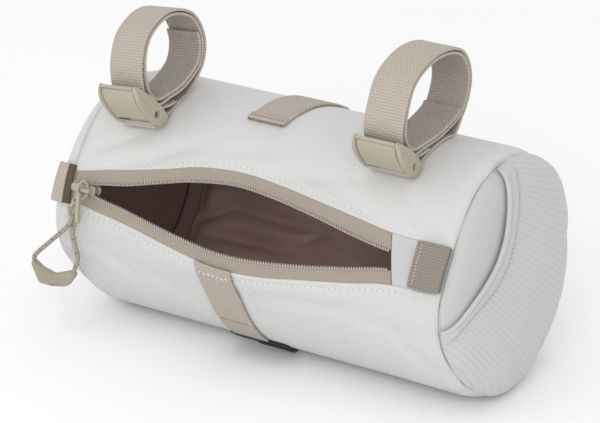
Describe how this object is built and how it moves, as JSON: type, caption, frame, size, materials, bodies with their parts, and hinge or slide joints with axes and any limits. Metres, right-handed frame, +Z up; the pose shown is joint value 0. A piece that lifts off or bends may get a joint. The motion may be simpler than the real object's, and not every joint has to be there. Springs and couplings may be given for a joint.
{
  "type": "handlebar bag",
  "caption": "Soft cylindrical cloth handlebar bag with an open curved zip, looped webbing straps with cam buckles, a stretch end pocket and a cord zip pull.",
  "frame": {"origin": "middle of the flattened underside, on the surface the bag rests on", "axes": "+X along the bag to the pocket end, -Y the zipped front, +Z up"},
  "size_m": [0.2394, 0.1264, 0.1578],
  "materials": {
    "canvas": "off-white woven canvas",
    "stretch": "off-white perforated stretch cloth",
    "webbing": "beige woven webbing",
    "cord": "beige braided cord with dark flecks",
    "zip_teeth": "pale coil zip teeth",
    "buckle": "khaki moulded plastic",
    "lining": "mauve-brown coated lining",
    "patch": "near-black rubber"
  },
  "bodies": {
    "bag": {"top_panel": "canvas", "front_panel": "canvas", "zip_end_panel": "canvas", "zip_tape_upper": "webbing", "zip_tape_lower": "webbing", "zip_teeth_upper": "zip_teeth", "zip_teeth_lower": "zip_teeth", "end_cap_left": "canvas", "end_cap_right": "canvas", "end_pocket": "stretch", "pocket_hem": "canvas", "lining_wall": "lining", "lining_end_left": "lining", "lining_end_right": "lining", "lining_binding": "lining", "front_strip": "webbing", "lower_patch": "patch", "tab_right": "webbing", "tab_left": "webbing", "top_loop": "webbing", "strap_left": "webbing", "strap_right": "webbing", "buckle_frame_left": "buckle", "buckle_frame_right": "buckle", "zip_slider": "buckle", "zip_pull": "buckle", "cord_left": "cord", "cord_right": "cord", "cord_knot": "cord", "cord_clip": "buckle"},
    "lever_left": {"buckle_lever_left": "buckle"},
    "lever_right": {"buckle_lever_right": "buckle"}
  },
  "joints": [
    {"name": "lever_left_hinge", "type": "hinge", "parent": "bag", "child": "lever_left", "pos_m": [-0.0729, -0.03904, 0.11217], "axis": [0.9848, -0.1035, 0.1392], "range_deg": [0, 35]},
    {"name": "lever_right_hinge", "type": "hinge", "parent": "bag", "child": "lever_right", "pos_m": [0.0605, -0.0325, 0.11391], "axis": [1, 0, 0], "range_deg": [0, 35]}
  ]
}
